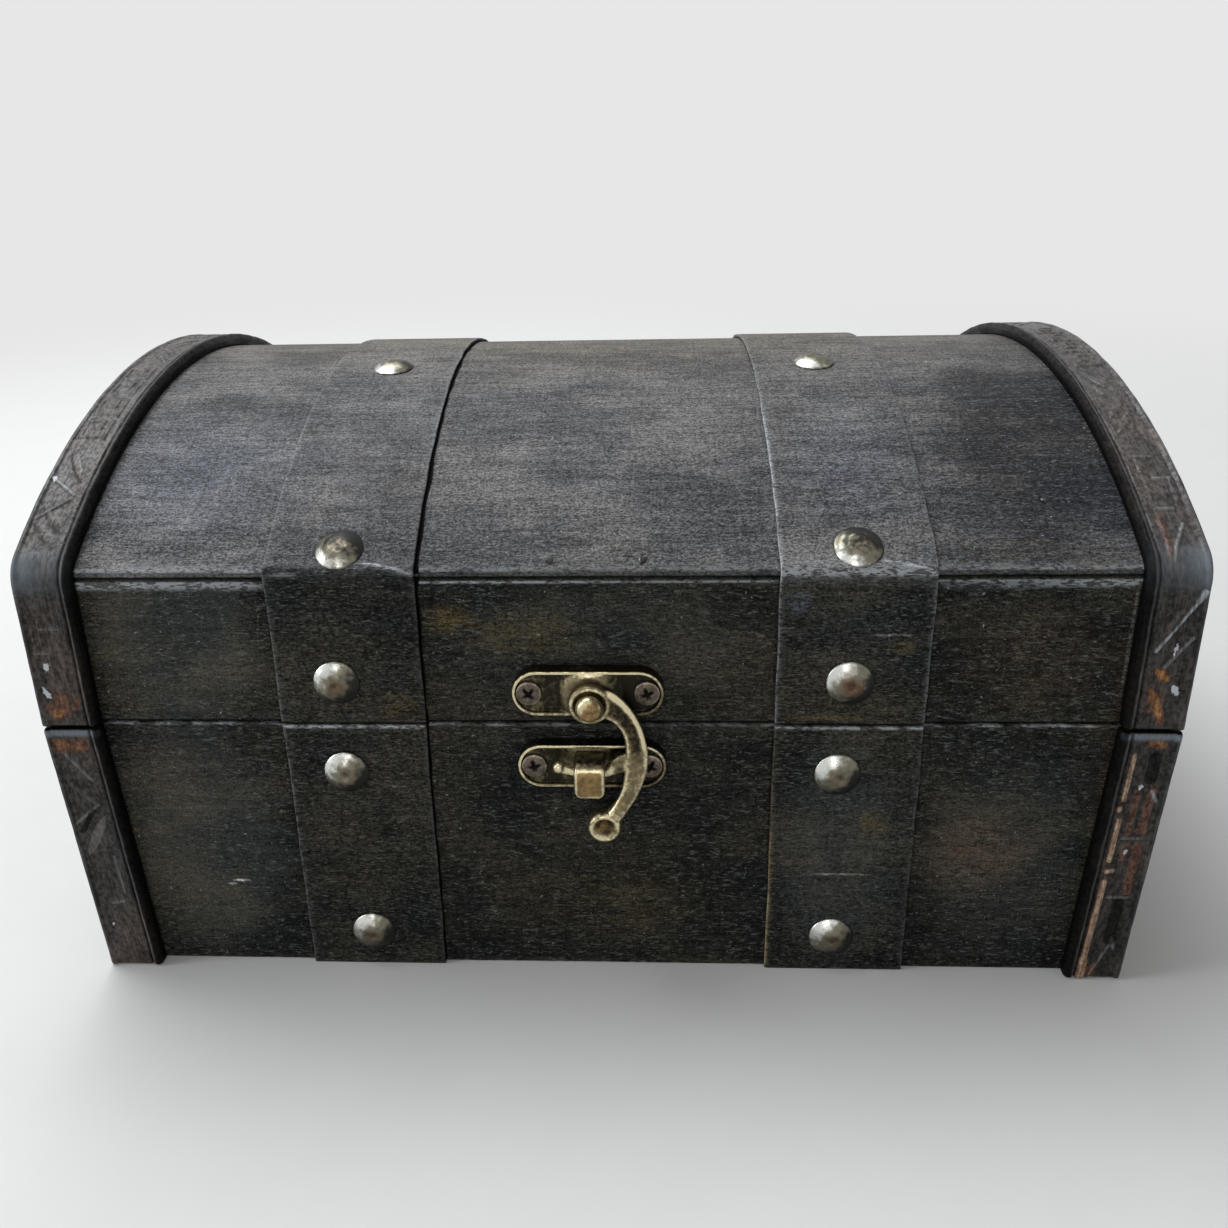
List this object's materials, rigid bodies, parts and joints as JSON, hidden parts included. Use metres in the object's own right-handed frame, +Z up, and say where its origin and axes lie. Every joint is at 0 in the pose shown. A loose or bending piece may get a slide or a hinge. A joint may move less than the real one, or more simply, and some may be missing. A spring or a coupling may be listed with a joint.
{
  "type": "treasure chest box",
  "caption": "Small wooden treasure chest with an arched hinged lid, raised straps, moulded end bands, domed studs and a swing hook latch.",
  "frame": {"origin": "middle of the underside that the chest stands on, between its bare front and back walls", "axes": "+X along the length, to the viewer's right; the front with the latch faces -Y; +Z up"},
  "size_m": [0.216, 0.1641, 0.115],
  "materials": {
    "chest_wood": "dark stained wood with rubbed-through flecks, satin",
    "strap_wood": "dark stained thin wood strap, edges worn pale",
    "moulded_band": "dark brown moulding with rubbed relief, satin",
    "stud_metal": "antique nickel over brass, worn satin",
    "nail_iron": "dark iron",
    "latch_bronze": "antique bronze with bright rubbed rims",
    "screw_steel": "darkened steel",
    "hinge_brass": "antique bronze, satin"
  },
  "bodies": {
    "chest_body": {"body_back_panel": "chest_wood", "body_band_back_left": "moulded_band", "body_band_back_right": "moulded_band", "body_band_front_left": "moulded_band", "body_band_front_right": "moulded_band", "body_front_panel": "chest_wood", "body_left_end_panel": "chest_wood", "body_right_end_panel": "chest_wood", "body_strap_back_left": "strap_wood", "body_strap_back_right": "strap_wood", "body_strap_front_left": "strap_wood", "body_strap_front_right": "strap_wood", "body_studs_back": "stud_metal", "body_studs_front": "stud_metal", "bottom_panel": "chest_wood", "hinge_leaf_lower_left": "hinge_brass", "hinge_leaf_lower_right": "hinge_brass", "hinge_pin_left": "hinge_brass", "hinge_pin_right": "hinge_brass", "hinge_screws_lower": "screw_steel", "latch_keeper_plate": "latch_bronze", "latch_keeper_post": "latch_bronze", "latch_screws_lower": "screw_steel"},
    "lid": {"hinge_leaf_upper_left": "hinge_brass", "hinge_leaf_upper_right": "hinge_brass", "hinge_screws_upper": "screw_steel", "latch_rivet": "latch_bronze", "latch_screws_upper": "screw_steel", "latch_upper_plate": "latch_bronze", "lid_back_rail": "chest_wood", "lid_band_left": "moulded_band", "lid_band_right": "moulded_band", "lid_front_rail": "chest_wood", "lid_left_end_panel": "chest_wood", "lid_right_end_panel": "chest_wood", "lid_strap_left": "strap_wood", "lid_strap_right": "strap_wood", "lid_studs": "stud_metal", "lid_top_sheet": "chest_wood", "sheet_nails": "nail_iron"},
    "hook": {"latch_hook": "latch_bronze"}
  },
  "joints": [
    {"name": "lid_hinge", "type": "hinge", "parent": "chest_body", "child": "lid", "pos_m": [0, 0.0782, 0.058], "axis": [-1, 0, 0], "range_deg": [0, 100]},
    {"name": "hook_swing", "type": "hinge", "parent": "lid", "child": "hook", "pos_m": [-0.0015, -0.0796, 0.06475], "axis": [0, -1, 0], "range_deg": [0, 150]}
  ]
}
